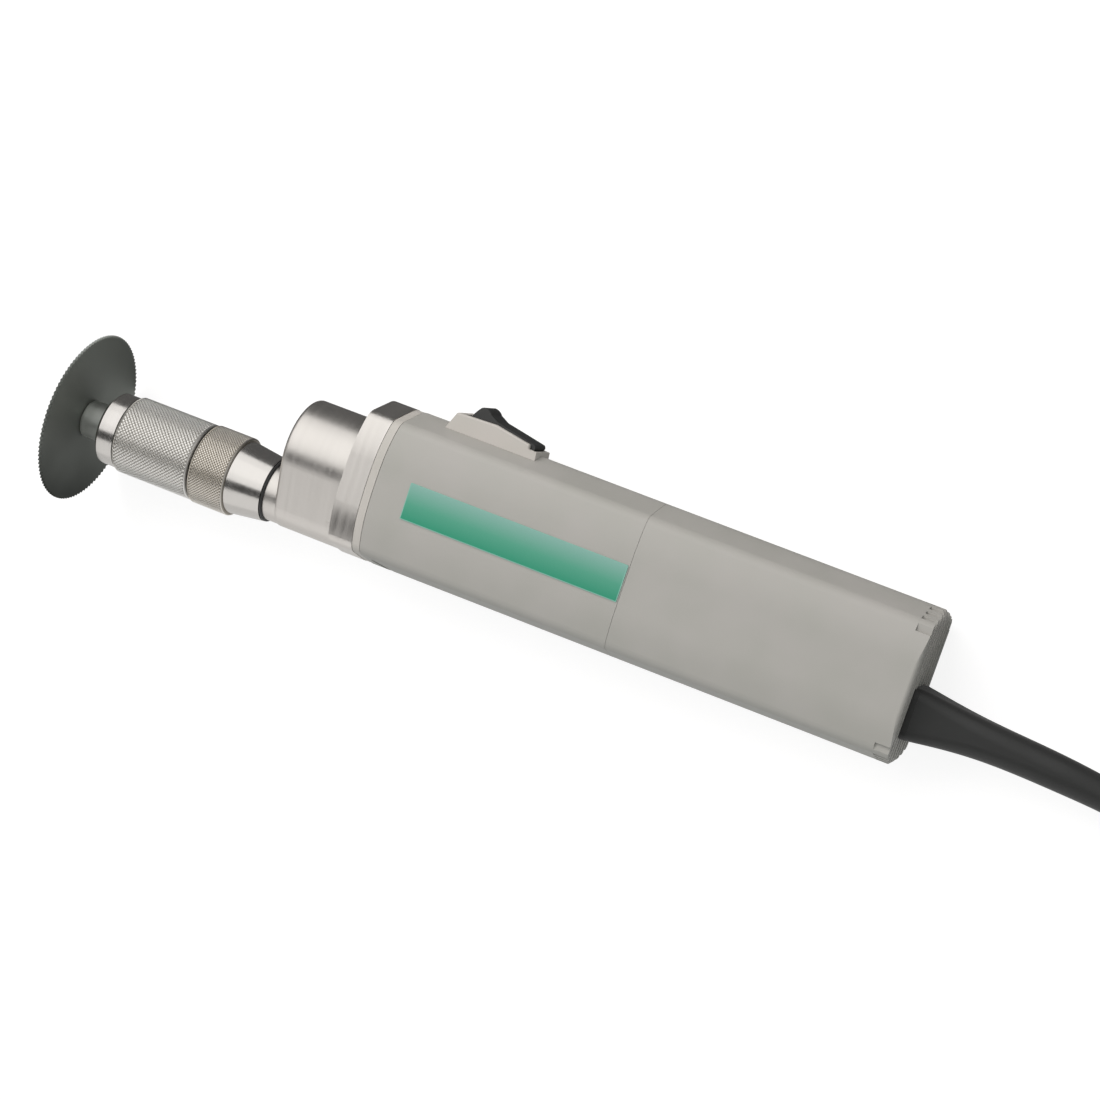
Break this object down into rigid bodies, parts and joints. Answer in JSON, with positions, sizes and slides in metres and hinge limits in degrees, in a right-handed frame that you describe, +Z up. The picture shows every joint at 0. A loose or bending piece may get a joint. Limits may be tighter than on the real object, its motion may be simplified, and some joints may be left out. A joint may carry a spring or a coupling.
{
  "type": "oscillating cast saw",
  "caption": "Mains oscillating cast saw: round fine-toothed blade, knurled nose grip, cast gearcase, grey housing with rocker switch, and a coiled mains lead with plug.",
  "frame": {"origin": "middle of the saw's footprint on the surface it lies on, lead left out", "axes": "+X from the blade to the rear, +Y toward the switch side, +Z up through the label side; the saw lies on its unlabelled side, tilted by about two degrees, on the blade's rim and its rear edge"},
  "size_m": [0.5703, 0.124, 0.065],
  "materials": {
    "blade_steel": "dull ground",
    "bright_steel": "turned",
    "machined_aluminium": "fine turned",
    "cast_aluminium": "satin polished",
    "bronze": "plain",
    "copper": "lacquered",
    "lamination_steel": "laminated",
    "black_rubber": "matt",
    "grey_plastic": "fine spark-eroded",
    "pale_plastic": "smooth",
    "black_plastic": "smooth",
    "carbon": "matt",
    "green_label": "printed film"
  },
  "bodies": {
    "saw_body": {"nose_tube": "machined_aluminium", "nose_ring": "machined_aluminium", "grip_sleeve": "machined_aluminium", "taper_collar": "machined_aluminium", "seal_ring": "black_rubber", "front_bush": "bronze", "rear_bush": "bronze", "gearcase": "cast_aluminium", "flange_screws": "bright_steel", "bearing_plate": "cast_aluminium", "front_bearing": "bright_steel", "front_bezel": "pale_plastic", "front_housing": "grey_plastic", "rear_housing": "grey_plastic", "housing_screws": "bright_steel", "switch_surround": "pale_plastic", "switch_pin": "bright_steel", "switch_module": "black_plastic", "label_plate": "green_label", "stator_core": "lamination_steel", "field_coils": "copper", "brush_frame": "black_plastic", "brush_holders": "bronze", "brushes": "carbon", "brush_springs": "bright_steel", "rear_bearing": "bright_steel", "capacitor": "black_plastic", "terminal_block": "pale_plastic", "inner_lead": "black_rubber", "cord_clamp": "black_plastic", "clamp_screws": "bright_steel", "strain_relief": "black_rubber", "mains_cord": "black_rubber", "cord_coil": "black_rubber", "plug_lead": "black_rubber", "plug_body": "black_plastic", "plug_pins": "bronze"},
    "oscillator": {"blade": "blade_steel", "clamp_washer": "bright_steel", "blade_screw": "bright_steel", "spindle": "bright_steel", "drive_fork": "bright_steel", "fork_pin": "bright_steel"},
    "armature": {"motor_shaft": "bright_steel", "crank_bearing": "bright_steel", "counterweight": "bright_steel", "fan": "black_plastic", "armature_core": "lamination_steel", "armature_windings": "copper", "commutator": "copper"},
    "rocker": {"switch_rocker": "black_plastic"},
    "lock_ring": {"lock_ring": "machined_aluminium"}
  },
  "joints": [
    {"name": "blade_swing", "type": "hinge", "parent": "saw_body", "child": "oscillator", "pos_m": [-0.16166, -0.01175, 0.0325], "axis": [0.9992, 0, -0.0391], "range_deg": [-2.5, 2.5]},
    {"name": "armature_spin", "type": "hinge", "parent": "saw_body", "child": "armature", "pos_m": [0.03819, 0.00545, 0.02468], "axis": [0.9992, 0, -0.0391], "continuous": true},
    {"name": "switch_rock", "type": "hinge", "parent": "saw_body", "child": "rocker", "pos_m": [-0.00228, 0.03325, 0.02627], "axis": [0.0391, 0, 0.9992], "range_deg": [0, 20]},
    {"name": "lock_ring_turn", "type": "hinge", "parent": "saw_body", "child": "lock_ring", "pos_m": [-0.10181, -0.01175, 0.03016], "axis": [0.9992, 0, -0.0391], "range_deg": [0, 60]}
  ]
}
